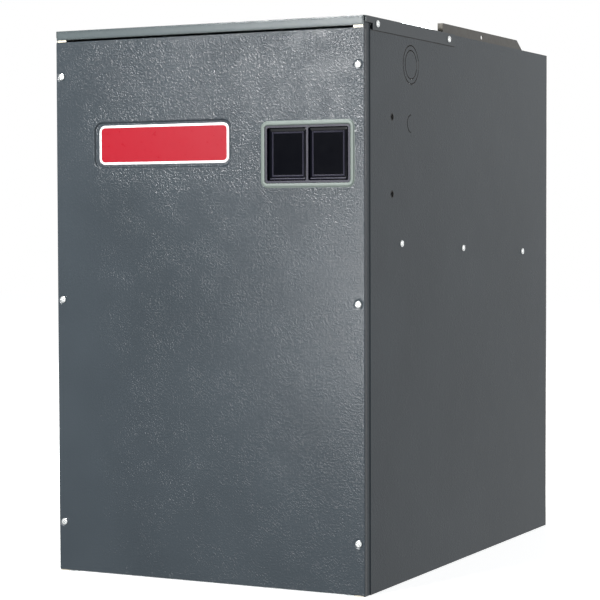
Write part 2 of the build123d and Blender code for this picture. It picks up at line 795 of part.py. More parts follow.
def breaker_bezel():
    """Plastic frame with two openings, seated behind the window's lip."""
    face = front - 0.4
    seat = front + sheet + window_lip
    rear = face + bezel_depth
    size = bezel_size()
    frame = rounded_plate(window_centre, size, window_corner - fit_gap, face, rear)
    flange = (window_size[0] + 6, window_size[1] + 6)
    frame += rounded_plate(window_centre, flange, window_corner, seat, rear)
    opening = cover_opening()
    for centre in cover_centres():
        frame -= rounded_plate(centre, opening, 2.5, face - 1, ledge_face())
        frame -= rounded_plate(centre, (opening[0] - 4, opening[1] - 4), 2.5, face, rear + 1)
    return frame


def ledge_face():
    """Depth of the ledge in the bezel that the covers' skirts rest on."""
    return front + cover_setback + cover_sheet + cover_skirt


def breaker_cover(centre):
    """Snap-in cover: a plate with a raised rounded frame, a finger ledge and a skirt."""
    opening = cover_opening()
    size = (opening[0] - 2 * fit_gap, opening[1] - 2 * fit_gap)
    face = front + cover_setback
    cover = rounded_plate(centre, size, 2.3, face, ledge_face())
    cover -= rounded_plate(centre, (size[0] - 3, size[1] - 3), 1.5, face + cover_sheet, ledge_face() + 1)
    frame = (size[0] - 2 * cover_margin[0], size[1] - 2 * cover_margin[1])
    cover += rounded_plate(centre, frame, 4, face - 0.8, face)
    cover -= rounded_plate(centre, (frame[0] - 3, frame[1] - 3), 3, face - 2, face)
    cover += box(centre[0] - size[0] / 2 + 3, centre[0] + size[0] / 2 - 3, face - 1.2, face,
                 centre[1] - size[1] / 2 + 1, centre[1] - size[1] / 2 + 3)
    return cover


def control_panel():
    """Galvanised plate that carries the controls and the breakers, flanged to both side panels."""
    face = front + control_depth
    points = [(-side_inner, face - control_flange), (-side_inner, face + inner_sheet),
              (side_inner, face + inner_sheet), (side_inner, face - control_flange)]
    plate = bent(list(reversed(points)), inner_sheet, control_top - control_bottom,
                 Plane.XY.offset(control_bottom))
    for side in (1, -1):
        for z in wiring_hole_heights:
            plate -= rod_x(shank_radius, side * (side_inner - 3), side * (side_inner + 1),
                           front + wiring_hole_depth, z)
    half = foot_width / 2
    foot = box(-half, half, face, face + foot_depth, deck_top, deck_top + inner_sheet)
    upright = box(-half, half, face, face + inner_sheet, deck_top, control_bottom)
    return plate + foot + upright


def breaker(centre):
    """Two pole breaker body with a pocket for its toggle."""
    rear = front + control_depth
    face = rear - breaker_length
    body = box(centre[0] - breaker_width / 2, centre[0] + breaker_width / 2, face + 8, rear,
               centre[1] - breaker_height / 2, centre[1] + breaker_height / 2)
    body += box(centre[0] - breaker_width / 2, centre[0] + breaker_width / 2, face, face + 8,
                centre[1] - breaker_height / 4, centre[1] + breaker_height / 4)
    gap = toggle_radius + 0.6
    body -= box(centre[0] - toggle_width / 2 - 0.6, centre[0] + toggle_width / 2 + 0.6,
                face - 1, toggle_pivot() + gap, centre[1] - gap, centre[1] + gap)
    return body


def toggle_pivot():
    """Y of the breaker toggles' axis."""
    return front + control_depth - breaker_length + 6


def breaker_toggle(centre):
    """Toggle of a two pole breaker: a hub with two fingers joined by a tie bar, tilted to on."""
    half = toggle_width / 2
    hub = rod_x(toggle_radius, -half, half, 0, 0)
    for x in (-half * 0.6, half * 0.6):
        hub += box(x - 4, x + 4, -toggle_reach, 0, -3, 3)
    hub += box(-half + 1, half - 1, -toggle_reach, -toggle_reach + 5, -3, 3)
    return Pos(centre[0], toggle_pivot(), centre[1]) * Rot(-toggle_tilt, 0, 0) * hub


def control_face():
    """Front face of the control panel."""
    return front + control_depth


def board_middle():
    """Middle of the circuit board as X and Z."""
    return (board_shift, control_middle + board_rise)


def board_face():
    """Y of the circuit board's front."""
    return control_face() - standoff - board_size[2]


def control_board():
    """Circuit board on four standoffs."""
    x, z = board_middle()
    half, tall = board_size[0] / 2, board_size[1] / 2
    board = box(x - half, x + half, board_face(), control_face() - standoff, z - tall, z + tall)
    for dx in (standoff_inset - half, half - standoff_inset):
        for dz in (standoff_inset - tall, tall - standoff_inset):
            board += rod_y(standoff_radius, control_face() - standoff, control_face(), x + dx, z + dz)
    return board


def board_relays():
    """Blower relay and heat relays along the board's upper edge."""
    x, z = board_middle()
    start, top = x - board_size[0] / 2 + relay_inset, z + board_size[1] / 2 - relay_inset + 4
    return [box(start + relay_pitch * i, start + relay_pitch * i + relay_size[0],
                board_face() - relay_size[2], board_face(), top - relay_size[1], top)
            for i in range(relay_count)]


def low_voltage_terminals():
    """Screw terminal strip along the board's lower edge."""
    x, z = board_middle()
    length, height, depth = terminal_size
    low = z - board_size[1] / 2 + terminal_inset
    strip = box(x - length / 2, x + length / 2, board_face() - depth, board_face(), low, low + height)
    pitch = length / (terminal_count + 1 / 3)
    for i in range(terminal_count):
        middle = x + pitch * (i - (terminal_count - 1) / 2)
        strip -= box(middle - terminal_pocket[0] / 2, middle + terminal_pocket[0] / 2, board_face() - depth - 1,
                     board_face() - depth + terminal_pocket[1], low + height / 4, low + height + 1)
    return strip


def transformer_middle():
    """Middle of the transformer as X and Z, and the front and rear of its core."""
    x = transformer_gap + transformer_size[0] / 2 - side_inner
    rear = control_face() - limb_width
    return x, control_middle + transformer_rise, rear - transformer_size[2], rear


def transformer_core():
    """Laminated core with two mounting feet."""
    x, z, y0, y1 = transformer_middle()
    half, tall = transformer_size[0] / 2, transformer_size[1] / 2
    core = box(x - half, x + half, y0, y1, z - tall, z + tall)
    reach = (tall + coil_wall) / 2 - 1
    for side in (1, -1):
        core -= box(x - half + limb_width, x + half - limb_width, y0 - 1, y1 + 1,
                    z + side * reach - core_window / 2, z + side * reach + core_window / 2)
        edge = x + side * half
        core += box(edge, edge - side * transformer_foot, y1, control_face(), z - tall, z + tall)
    return core


def transformer_coil():
    """Wound bobbin round the core's middle limb."""
    x, z, y0, y1 = transformer_middle()
    half = transformer_size[0] / 2 - limb_width
    tall = (transformer_size[1] / 2 + coil_wall) / 2 - 1 + core_window / 2 - 1
    coil = box(x - half, x + half, y0 - coil_wall, y1 + coil_wall, z - tall, z + tall)
    return coil - transformer_core()


def heater_plate():
    """Plate of the electric heater, on the front of the partition."""
    y1 = partition_face
    half, tall = heater_width / 2, heater_height / 2
    plate = box(-half, half, y1 - inner_sheet, y1, heater_centre - tall, heater_centre + tall)
    for z in element_levels:
        for x in element_places:
            plate -= rod_y(element_radius + 0.3, y1 - 3, y1 + 1, x, z)
    return plate


def rack_straps():
    """Y of the two straps that hold the insulators."""
    return (partition_face + element_length - rack_end, partition_face + element_length / 2)


def element_racks():
    """Wire racks behind the heater plate: two rods and two cross straps at each level."""
    racks = []
    for z in element_levels:
        x_rod = element_places[-1] + rack_side
        end = x_rod + 2 * rack_rod_radius
        rack = None
        for y in rack_straps():
            strap = box(-end, end, y, y + inner_sheet, z - rack_strap / 2, z + rack_strap / 2)
            rack = strap if rack is None else rack + strap
        for x in element_places:
            rack -= rod_y(element_radius + insulator_wall, partition_face, partition_face + element_length, x, z)
        for x in (-x_rod, x_rod):
            rack += rod_y(rack_rod_radius, partition_face, rack_straps()[0] + inner_sheet, x, z)
        racks.append(rack)
    return racks


def element_insulators():
    """Ceramic bushings in the straps."""
    rings = []
    for z in element_levels:
        for x in element_places:
            for y in rack_straps():
                y0, y1 = y - insulator_stand, y + inner_sheet + insulator_stand
                ring = rod_y(element_radius + insulator_wall, y0, y1, x, z)
                rings.append(ring - rod_y(element_radius + fit_gap, y0 - 1, y1 + 1, x, z))
    return rings


def heating_elements():
    """Outer shape of the eight coiled heating elements."""
    start = partition_face - inner_sheet - element_stub
    return [rod_y(element_radius, start, partition_face + element_length, x, z)
            for z in element_levels for x in element_places]


def limit_switch():
    """Disc thermostat on the heater plate."""
    y1 = partition_face - inner_sheet
    z = element_levels[-1]
    width, height, thick = limit_foot
    foot = box(-width / 2, width / 2, y1 - thick, y1, z - height / 2, z + height / 2)
    return rod_y(limit_radius, y1 - limit_height, y1, 0, z) + foot


def sequencers():
    """Two heater sequencers on the heater plate."""
    y1 = partition_face - inner_sheet
    width, height, depth = sequencer_size
    return [box(side * sequencer_pitch / 2 - width / 2, side * sequencer_pitch / 2 + width / 2, y1 - depth, y1,
                heater_centre - height / 2, heater_centre + height / 2) for side in (-1, 1)]


def build():
    """All the nodes by name."""
    parts = {}

    def pair(name, part):
        parts[name + "_right"], parts[name + "_left"] = both_sides(part)

    pair("side_panel", side_panel())
    parts["back_panel"] = back_panel()
    pair("base_rail", base_side_rail())
    parts["base_cross_rails"] = [base_cross_rail(front + panel_return + 2 * fit_gap, 1),
                                 base_cross_rail(back_inner, -1)]
    parts["blower_deck"] = blower_deck()
    parts["blower_rails"] = both_sides(blower_rail())
    parts["top_front_cover"] = top_front_cover()
    parts["top_rear_cover"] = top_rear_cover()
    parts["partition_wall"] = partition_wall()
    pair("supply_flange", supply_flange())
    right_pads = insulation_right()
    parts["insulation_right"] = right_pads
    parts["insulation_left"] = [mirror(pad, about=Plane.YZ) for pad in right_pads]
    parts["insulation_back"] = insulation_back()
    parts["deck_screws"] = [screw_out(side * side_face, front + depth, z, (side, 0, 0))
                            for side in (1, -1) for depth, z in deck_screw_places]
    parts["top_cover_screws"] = [
        screw_out(side * half_width, front + depth, cabinet_height - tab_screw_drop, (side, 0, 0))
        for side in (1, -1) for depth in tab_screw_places]
    parts["back_screws"] = [screw_out(side * (side_face - rear_return / 2), back, z, (0, 1, 0))
                            for side in (1, -1) for z in rear_screw_heights]
    pair("blower_side", blower_side())
    parts["scroll_wrap"] = scroll_wrap()
    parts["cutoff_plate"] = cutoff_plate()
    pair("inlet_ring", inlet_ring())
    parts["wheel_blades"] = wheel_blades()
    parts["wheel_end_rings"] = wheel_end_rings()
    parts["wheel_disc"] = wheel_disc()
    parts["wheel_hub"] = wheel_hub()
    parts["motor_shaft"] = motor_shaft()
    parts["motor_shell"] = motor_shell()
    parts["motor_end_bells"] = motor_bells()
    parts["motor_arms"] = motor_arms()
    parts["motor_grommets"] = motor_grommets()
    parts["motor_band"] = motor_band()
    parts["run_capacitor"] = run_capacitor()
    parts["capacitor_strap"] = capacitor_strap()
    parts["access_panel"] = access_panel()
    parts["access_panel_screws"] = panel_screws()
    parts["access_panel_insulation"] = panel_insulation()
    parts["badge_plate"] = badge_plate()
    parts["breaker_bezel"] = breaker_bezel()
    left, right = cover_centres()
    parts["breaker_cover_left"] = breaker_cover(left)
    parts["breaker_cover_right"] = breaker_cover(right)
    parts["circuit_breaker_left"] = breaker(left)
    parts["circuit_breaker_right"] = breaker(right)
    parts["breaker_toggle_left"] = breaker_toggle(left)
    parts["breaker_toggle_right"] = breaker_toggle(right)
    parts["control_panel"] = control_panel()
    parts["control_board"] = control_board()
    parts["board_relays"] = board_relays()
    parts["low_voltage_terminals"] = low_voltage_terminals()
    parts["transformer_core"] = transformer_core()
    parts["transformer_coil"] = transformer_coil()
    parts["heater_plate"] = heater_plate()
    parts["element_racks"] = element_racks()
    parts["element_insulators"] = element_insulators()
    parts["heating_elements"] = heating_elements()
    parts["limit_switch"] = limit_switch()
    parts["sequencers"] = sequencers()
    return parts


os.makedirs("parts", exist_ok=True)
for name, made in build().items():
    solids = [s for piece in made for s in piece.solids()] if isinstance(made, list) else made.solids()
    export_step(Compound(children=list(solids)) if len(solids) > 1 else solids[0], f"parts/{name}.step")
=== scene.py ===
import bpy
import json
import math
import numpy as np
from mathutils import Matrix, Vector
from mathutils.geometry import tessellate_polygon


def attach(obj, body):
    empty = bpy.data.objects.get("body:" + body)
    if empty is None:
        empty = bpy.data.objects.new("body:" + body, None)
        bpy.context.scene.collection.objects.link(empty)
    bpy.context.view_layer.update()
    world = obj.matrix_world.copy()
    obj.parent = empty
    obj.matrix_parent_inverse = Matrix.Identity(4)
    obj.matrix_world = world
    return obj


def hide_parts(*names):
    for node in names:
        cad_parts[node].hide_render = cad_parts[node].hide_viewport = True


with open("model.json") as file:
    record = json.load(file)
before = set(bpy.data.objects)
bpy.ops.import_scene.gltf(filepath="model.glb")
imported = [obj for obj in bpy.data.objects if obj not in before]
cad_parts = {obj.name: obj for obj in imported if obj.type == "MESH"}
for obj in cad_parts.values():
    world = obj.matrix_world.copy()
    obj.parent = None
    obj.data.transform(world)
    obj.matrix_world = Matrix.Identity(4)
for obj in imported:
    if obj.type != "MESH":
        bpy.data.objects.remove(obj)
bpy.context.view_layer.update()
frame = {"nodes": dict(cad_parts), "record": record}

# Sizes in millimetres, shared with the CAD part
FACE = -350.0                      # front face of the access panel
PANEL_HALF = 239.0
PANEL_LOW, PANEL_HIGH = 1.5, 746.5
FOLD = 5.6                         # depth of the panel's folded edge
FOLD_HALF = 221.8                  # the top and bottom folds stop here
SHEET = 1.0
SCREWS_X = 230.0
SCREWS_Z = (70.0, 385.0, 698.0)
RECESS = ((-67.8, 600.3), (216.0, 63.0), 12.0)
RECESS_DEPTH = 2.6
DIMPLE_DEPTH = 0.5
PANEL_CORNER = 1.5
FOLD_STEP = 0.01                   # the folds stop within this
RECESS_FALL = 1.3                  # half the width of the recess's wave
RIM_OUTSET, RIM_RISE = 6.0, 1.2    # how far the window's rim reaches, and how far it stands out
DIMPLE_RADIUS, HOLE_RADIUS = 7.4, 3.1
LIP_DROP = 2.9                     # how far the top cover's lip is drawn below the CAD one
LIP_BEND, LIP_UNDER = 1.5, 755.0   # the lip's lower edge: so near the front, and lower than this
BADGE = ((-65.7, 600.7), (206.0, 54.5), 9.0)
WINDOW = ((155.8, 583.2), (126.4, 77.0), 4.0)
WINDOW_LIP = 6.0
COVER_STEP = 29.85
HEATER_FRONT = -118.0
NOSE = 6.0                         # depth of the top cover's wide bend
# Pan head screws: head, slots and shank
HEAD_RADIUS, HEAD_SKIRT, HEAD_RISE = 4.8, 0.7, 1.9
SLOT_HALF, SLOT_REACH, SLOT_DEPTH = 0.55, 2.6, 1.3
SHANK_RADIUS, SHANK_LENGTH, TIP = 2.1, 9.5, 13
# Where the screws sit: at each side as half the width, depths and heights; at the back as X, Y and heights
DECK_SEAT, DECK_SCREWS = 239.0, ((119.0, 463.5), (340.9, 455.0), (587.3, 447.0))
COVER_SEAT, COVER_DEPTHS, COVER_HEIGHT = 240.0, (38.6, 283.8), 753.5
BACK_X, BACK_FACE, BACK_HEIGHTS = 230.0, 350.0, (60.0, 380.0, 700.0)
# Where the sheets are bare, and where dead black is painted as shade
BARE_HALF = 236.85                 # the side panels' sheet is bare zinc nearer the middle than this,
STRIP_DEPTH, JOGGLE = 18.5, 1.2    # and behind their front strip by the joggle more
BACK_INNER = 349.5
HOLE_SHADE_HALF = 237.5
# Painted shade at the punched slits and holes of the side panels, where their edges and insides fall dark:
# place as depth and height, radius of the line, half its width
HALF_MOON = 11.9
PUNCH_SHADE_LINES = (((151.8, 707.8), 26.2, 1.0), ((151.8, 707.8), 19.5, 1.0), ((151.5, 627.4), HALF_MOON, 1.0),
           ((88.2, 530.2), 0.0, 5.4), ((88.2, 633.6), 0.0, 5.4))
# painted shadow in the seam under the top cover's tab: its height and half its width
SEAM_SHADOW_HEIGHT, SEAM_SHADOW_HALF = 744.4, 0.6
TAB_MIDDLE, TAB_HALF = -183.7, 141.7
# Fitted camera: turns in degrees, place in metres, focal length in pixels of the picture
CAMERA_TURNS = (26.7469, -2.179, -0.1525)
CAMERA_PLACE = (1.3262, -2.6948, 0.4896)
FOCAL, PICTURE = 1979.29, 600
# Lamps: name, place and aim in metres, width in metres, power in watts
LAMPS = (("key", (-0.83, -3.5, 1.55), (0.15, -0.35, 0.6), 0.35, 105),
         ("window", (-1.15, -3.4, 1.42), (0.15, -0.35, 0.5), 1.0, 36),
         ("fill", (2.6, -2.2, 1.2), (0.1, -0.2, 0.4), 2.0, 3),
         ("side", (3.4, 1.5, 0.9), (0.24, 0.1, 0.4), 1.4, 48),
         ("low", (-0.70, -3.4, 0.15), (0.2, -0.35, 0.3), 0.8, 46),
         ("sheen", (1.5, 3.4, 1.3), (0.24, 0.1, 0.5), 1.4, 1.9),
         ("rear", (-1.6, 3.2, 1.8), (0, 0.2, 0.4), 1.8, 60),
         ("top", (-0.72, -0.3, 3.0), (0, -0.2, 0.76), 0.9, 150))
FLOOR_HALF, FLOOR_HEIGHT = 9, -0.0005


def linear(code):
    """Hex colour as shown on a screen, as the linear values that the shader needs."""
    parts = [int(code[i:i + 2], 16) / 255 for i in (0, 2, 4)]
    return tuple(p / 12.92 if p <= 0.04045 else ((p + 0.055) / 1.055) ** 2.4 for p in parts) + (1.0,)


def node(tree, kind, inputs=None, **settings):
    """Adds a shader node. Inputs maps a socket's name or number to a constant or to another socket."""
    made = tree.nodes.new(kind)
    for key, value in settings.items():
        setattr(made, key, value)
    for key, value in (inputs or {}).items():
        if isinstance(value, bpy.types.NodeSocket):
            tree.links.new(value, made.inputs[key])
        else:
            made.inputs[key].default_value = value
    return made


def new_material(name):
    """Empty material with its output node and the object's own coordinates in metres."""
    material = bpy.data.materials.new(name)
    material.use_nodes = True
    tree = material.node_tree
    tree.nodes.clear()
    where = node(tree, "ShaderNodeTexCoord").outputs["Object"]
    return material, tree, where


def finish_material(tree, inputs):
    """Principled surface with these inputs."""
    surface = node(tree, "ShaderNodeBsdfPrincipled", inputs)
    node(tree, "ShaderNodeOutputMaterial", {"Surface": surface.outputs[0]})


def scaled_noise(tree, where, size_mm, detail=2.0, rough=0.5, stretch=(1, 1, 1)):
    """Noise whose lumps are about size_mm across, stretched along an axis where stretch is under 1."""
    moved = node(tree, "ShaderNodeMapping", {"Vector": where,
                                             "Scale": tuple(s * 1000 / size_mm for s in stretch)})
    return node(tree, "ShaderNodeTexNoise", {"Vector": moved.outputs[0], "Scale": 1.0, "Detail": detail,
                                            "Roughness": rough}).outputs[0]


def remap(tree, value, low, high, to_low, to_high, smooth=False):
    """Value moved from one range to another and held inside it."""
    kind = "SMOOTHSTEP" if smooth else "LINEAR"
    return node(tree, "ShaderNodeMapRange", {"Value": value, "From Min": low, "From Max": high,
                                             "To Min": to_low, "To Max": to_high},
                interpolation_type=kind).outputs[0]


def maths(tree, operation, a, b=0.0):
    """One arithmetic step."""
    return node(tree, "ShaderNodeMath", {0: a, 1: b}, operation=operation).outputs[0]


def tinted(tree, factor, dark, light):
    """Colour that runs from dark to light with the factor."""
    mix = node(tree, "ShaderNodeMix", {"Factor": factor}, data_type="RGBA")
    mix.inputs[6].default_value = dark
    mix.inputs[7].default_value = light
    return mix.outputs[2]


def soft_edges(tree, radius_mm):
    """Normal that rounds the sharp edges of a sheet by its real radius."""
    return node(tree, "ShaderNodeBevel", {"Radius": radius_mm / 1000}, samples=4).outputs[0]


def textured_paint(name, bare=None, edge_mm=0.7):
    """Grey baked enamel with a leather grain: soft worm shaped ridges about 4 mm long that catch the light,
    in clumps some 30 mm wide, over a slow unevenness of the coat. On the access panel, the one sheet with no
    bare side here, the grain is deeper at the top and shallow at the left edge, as photographed."""
    material, tree, where = new_material(name)
    worms = scaled_noise(tree, where, 4.6, 1.5, 0.5)
    ridge = remap(tree, maths(tree, "ABSOLUTE", maths(tree, "SUBTRACT", worms, 0.5)),
                  0.0, 0.10, 1.0, 0.0, True)
    clumps = remap(tree, scaled_noise(tree, where, 34.0, 2.0), 0.35, 0.65, 0.45, 1.0, True)
    fine = scaled_noise(tree, where, 1.8, 2.0)
    height = maths(tree, "ADD", maths(tree, "MULTIPLY", ridge, clumps), maths(tree, "MULTIPLY", fine, 0.7))
    depth = 0.5
    if bare is None:
        across, _, rise = node(tree, "ShaderNodeSeparateXYZ", {0: where}).outputs
        depth = maths(tree, "MULTIPLY", remap(tree, rise, 0.50, 0.62, 0.45, 1.30, True),
                      remap(tree, across, -0.215, -0.12, 0.35, 1.0, True))
    height = maths(tree, "MULTIPLY", height, depth)
    coat = scaled_noise(tree, where, 160.0, 2.0)
    colour = tinted(tree, remap(tree, coat, 0.3, 0.7, 0.0, 1.0), linear("2A3238"), linear("31393F"))
    bump = node(tree, "ShaderNodeBump", {"Height": height, "Strength": 1.0, "Distance": 0.00018,
                                         "Normal": soft_edges(tree, edge_mm)})
    return coated(tree, material, where, colour, bump.outputs[0], bare)


def punch_shade_marks(tree, where):
    """1 where shade is painted: on the walls of the slits and wiring holes in the side panels, on a dark
    line of painted shade that runs up to 1.4 mm past their edges, and as a painted shadow in the seam under
    the top cover's tab."""
    _, along, up = node(tree, "ShaderNodeSeparateXYZ", {0: where}).outputs
    marks = []
    for (depth, height), radius, half_width in PUNCH_SHADE_LINES:
        centre = (0.0, (FACE + depth) / 1000, height / 1000)
        off_centre = node(tree, "ShaderNodeVectorMath", {0: where, 1: centre}, operation="SUBTRACT")
        flat = node(tree, "ShaderNodeVectorMath", {0: off_centre.outputs[0], 1: (0.0, 1.0, 1.0)},
                    operation="MULTIPLY")
        reach = node(tree, "ShaderNodeVectorMath", {0: flat.outputs[0]}, operation="LENGTH").outputs["Value"]
        off = maths(tree, "ABSOLUTE", maths(tree, "SUBTRACT", reach, radius / 1000))
        mark = maths(tree, "LESS_THAN", off, half_width / 1000)
        if radius == HALF_MOON:
            mark = maths(tree, "MULTIPLY", mark, maths(tree, "LESS_THAN", along, centre[1]))
        marks.append(mark)
    from_seam = maths(tree, "ABSOLUTE", maths(tree, "SUBTRACT", up, SEAM_SHADOW_HEIGHT / 1000))
    seam = maths(tree, "LESS_THAN", from_seam, SEAM_SHADOW_HALF / 1000)
    from_tab = maths(tree, "ABSOLUTE", maths(tree, "SUBTRACT", along, TAB_MIDDLE / 1000))
    under_tab = maths(tree, "LESS_THAN", from_tab, TAB_HALF / 1000)
    dark = maths(tree, "MULTIPLY", seam, under_tab)
    for mark in marks:
        dark = maths(tree, "MAXIMUM", dark, mark)
    return dark


def coated(tree, material, where, colour, normal, bare):
    """Enamel, and the bare zinc of the same sheet where the bare mask is 1."""
    if bare is None:
        finish_material(tree, {"Base Color": colour, "Roughness": 0.22, "Specular IOR Level": 0.3,
                               "Normal": normal})
        return material
    mask = bare(tree, where)
    if bare is side_inside:
        # painted shade: the slit walls, the holes and the seam under the tab turn near black
        marks = punch_shade_marks(tree, where)
        colour = node(tree, "ShaderNodeMix", {"Factor": marks, 6: colour, 7: linear("020303")},
                      data_type="RGBA").outputs[2]
    metal = node(tree, "ShaderNodeMix", {"Factor": mask, 6: colour, 7: linear("A49F92")}, data_type="RGBA")
    finish_material(tree, {"Base Color": metal.outputs[2], "Metallic": mask, "Normal": normal,
                           "Specular IOR Level": 0.16, "Roughness": remap(tree, mask, 0, 1, 0.38, 0.42)})
    return material


def side_inside(tree, where):
    """1 on the inside of the side panels and on their front returns, which stay unpainted."""
    axes = node(tree, "ShaderNodeSeparateXYZ", {0: where})
    across = maths(tree, "ABSOLUTE", axes.outputs[0])
    behind = maths(tree, "GREATER_THAN", axes.outputs[1], (FACE + STRIP_DEPTH) / 1000)
    limit = maths(tree, "ADD", BARE_HALF / 1000, maths(tree, "MULTIPLY", behind, JOGGLE / 1000))
    return maths(tree, "LESS_THAN", across, limit)


def back_inside(tree, where):
    """1 on the inner face of the back panel."""
    along = node(tree, "ShaderNodeSeparateXYZ", {0: where}).outputs[1]
    return maths(tree, "LESS_THAN", along, BACK_INNER / 1000)


def smooth_paint(name, code, rough, edge_mm, nose=False):
    """The same enamel where it is drawn smooth over a fold or a pressed rim: even, with a soft bright edge,
    and painted paler as a painted highlight. With nose the wide bend is kept to the nose's depth, and behind
    it the coat is darker and sharp."""
    material, tree, where = new_material(name)
    fine = scaled_noise(tree, where, 3.0, 2.0)
    normal, colour, gloss = soft_edges(tree, edge_mm), linear(code), rough
    if nose:
        front = maths(tree, "LESS_THAN", node(tree, "ShaderNodeSeparateXYZ", {0: where}).outputs[1],
                      (FACE + NOSE) / 1000)
        mix = node(tree, "ShaderNodeMix", {0: front, 4: soft_edges(tree, 0.5), 5: normal},
                   data_type="VECTOR")
        normal = mix.outputs[1]
        # painted highlight: the nose takes the paler colour, the coat behind it the darker one
        colour = tinted(tree, front, linear("2B3237"), linear(code))
        gloss = remap(tree, front, 0, 1, 0.48, rough)
    relief = 0.00022 if nose else 0.00008
    bump = node(tree, "ShaderNodeBump", {"Height": fine, "Strength": 0.5, "Distance": relief,
                                         "Normal": normal})
    finish_material(tree, {"Base Color": colour, "Roughness": gloss, "Specular IOR Level": 0.3,
                           "Normal": bump.outputs[0]})
    return material


def control_plate():
    """Bare zinc plate, dead black as painted shade on the faces of its side flanges next to the side panels,
    behind the wiring holes.
    """
    material, tree, where = new_material("zinc_plate_with_painted_hole_shade")
    across = maths(tree, "ABSOLUTE", node(tree, "ShaderNodeSeparateXYZ", {0: where}).outputs[0])
    # painted shade: the flange faces next to the side panels go dead black
    tape = maths(tree, "GREATER_THAN", across, HOLE_SHADE_HALF / 1000)
    cells = node(tree, "ShaderNodeTexVoronoi", {"Vector": where, "Scale": 90.0})
    shade = node(tree, "ShaderNodeSeparateColor", {0: cells.outputs["Color"]}).outputs[0]
    zinc = tinted(tree, shade, linear("8E9294"), linear("B4B8B9"))
    colour = node(tree, "ShaderNodeMix", {"Factor": tape, 6: zinc, 7: linear("0A0A0A")}, data_type="RGBA")
    finish_material(tree, {"Base Color": colour.outputs[2], "Metallic": maths(tree, "SUBTRACT", 1.0, tape),
                           "Roughness": remap(tree, tape, 0, 1, 0.42, 0.9)})
    return material


def spangled_zinc(name, dark, light, rough=0.38):
    """Hot dipped zinc on bare sheet: flat crystals 8 to 15 mm across, each with its own grey and gloss."""
    material, tree, where = new_material(name)
    bent_place = node(tree, "ShaderNodeMixRGB", {0: 0.06, 1: where}, blend_type="ADD")
    lumps = node(tree, "ShaderNodeTexNoise", {"Vector": where, "Scale": 90.0, "Detail": 2.0})
    tree.links.new(lumps.outputs[1], bent_place.inputs[2])
    cells = node(tree, "ShaderNodeTexVoronoi", {"Vector": bent_place.outputs[0], "Scale": 90.0})
    shade = node(tree, "ShaderNodeSeparateColor", {0: cells.outputs["Color"]}).outputs[0]
    finish_material(tree, {"Base Color": tinted(tree, shade, linear(dark), linear(light)), "Metallic": 1.0,
                           "Roughness": remap(tree, shade, 0, 1, rough - 0.08, rough + 0.12),
                           "Normal": soft_edges(tree, 0.5)})
    return material


def foil_facing():
    """Aluminium foil glued on glass wool: crumpled in sharp little folds, so that it glitters in patches."""
    material, tree, where = new_material("foil_faced_glass_wool")
    folds = node(tree, "ShaderNodeTexVoronoi", {"Vector": where, "Scale": 70.0}, feature="DISTANCE_TO_EDGE")
    waves = scaled_noise(tree, where, 22.0, 3.0)
    height = maths(tree, "ADD", folds.outputs["Distance"], waves)
    bump = node(tree, "ShaderNodeBump", {"Height": height, "Strength": 0.6, "Distance": 0.002})
    finish_material(tree, {"Base Color": linear("C9CCCE"), "Metallic": 1.0, "Roughness": 0.34,
                           "Normal": bump.outputs[0]})
    return material


def plain(name, code, rough, metal=0.0, grain_mm=1.0, relief_mm=0.03, spread=0.08, stretch=(1, 1, 1),
          edge=0.3, gloss=0.5):
    """A surface of one colour whose fine grain sways its tone, its gloss and its height a little."""
    material, tree, where = new_material(name)
    grain = scaled_noise(tree, where, grain_mm, 3.0, 0.55, stretch)
    base = linear(code)
    dark = tuple(c * (1 - spread) for c in base[:3]) + (1.0,)
    light = tuple(min(1.0, c * (1 + spread)) for c in base[:3]) + (1.0,)
    bump = node(tree, "ShaderNodeBump", {"Height": grain, "Strength": 0.5, "Distance": relief_mm / 1000,
                                         "Normal": soft_edges(tree, edge)})
    finish_material(tree, {"Base Color": tinted(tree, grain, dark, light), "Metallic": metal,
                           "Roughness": remap(tree, grain, 0.3, 0.7, rough * 0.9, min(1.0, rough * 1.1)),
                           "Specular IOR Level": gloss, "Normal": bump.outputs[0]})
    return material


def banded(name, dark, light, band_mm, rough, metal, axis="Z"):
    """Parallel bands, such as stacked laminations or wound tape, darker in the joints."""
    material, tree, where = new_material(name)
    wave = node(tree, "ShaderNodeTexWave", {"Vector": where, "Scale": 1000 / band_mm / 3.1416 * 0.5,
                                            "Distortion": 0.4}, bands_direction=axis)
    lines = remap(tree, wave.outputs["Fac"], 0.05, 0.45, 0.0, 1.0, True)
    bump = node(tree, "ShaderNodeBump", {"Height": lines, "Strength": 0.5, "Distance": 0.0002})
    finish_material(tree, {"Base Color": tinted(tree, lines, linear(dark), linear(light)), "Metallic": metal,
                           "Roughness": rough, "Normal": bump.outputs[0]})
    return material


def board_mask():
    """Green solder mask over copper tracks: the tracks show as slightly lighter square runs."""
    material, tree, where = new_material("green_solder_mask")
    turned = node(tree, "ShaderNodeMapping", {"Vector": where, "Rotation": (math.pi / 2, 0, 0)})
    tracks = node(tree, "ShaderNodeTexBrick", {"Vector": turned.outputs[0], "Scale": 60.0,
                                               "Mortar Size": 0.03, "Color1": (0, 0, 0, 1),
                                               "Color2": (0.1, 0.1, 0.1, 1), "Mortar": (1, 1, 1, 1)})
    green = tinted(tree, tracks.outputs["Fac"], linear("0F4A2C"), linear("2C7A4C"))
    finish_material(tree, {"Base Color": green, "Roughness": 0.3})
    return material
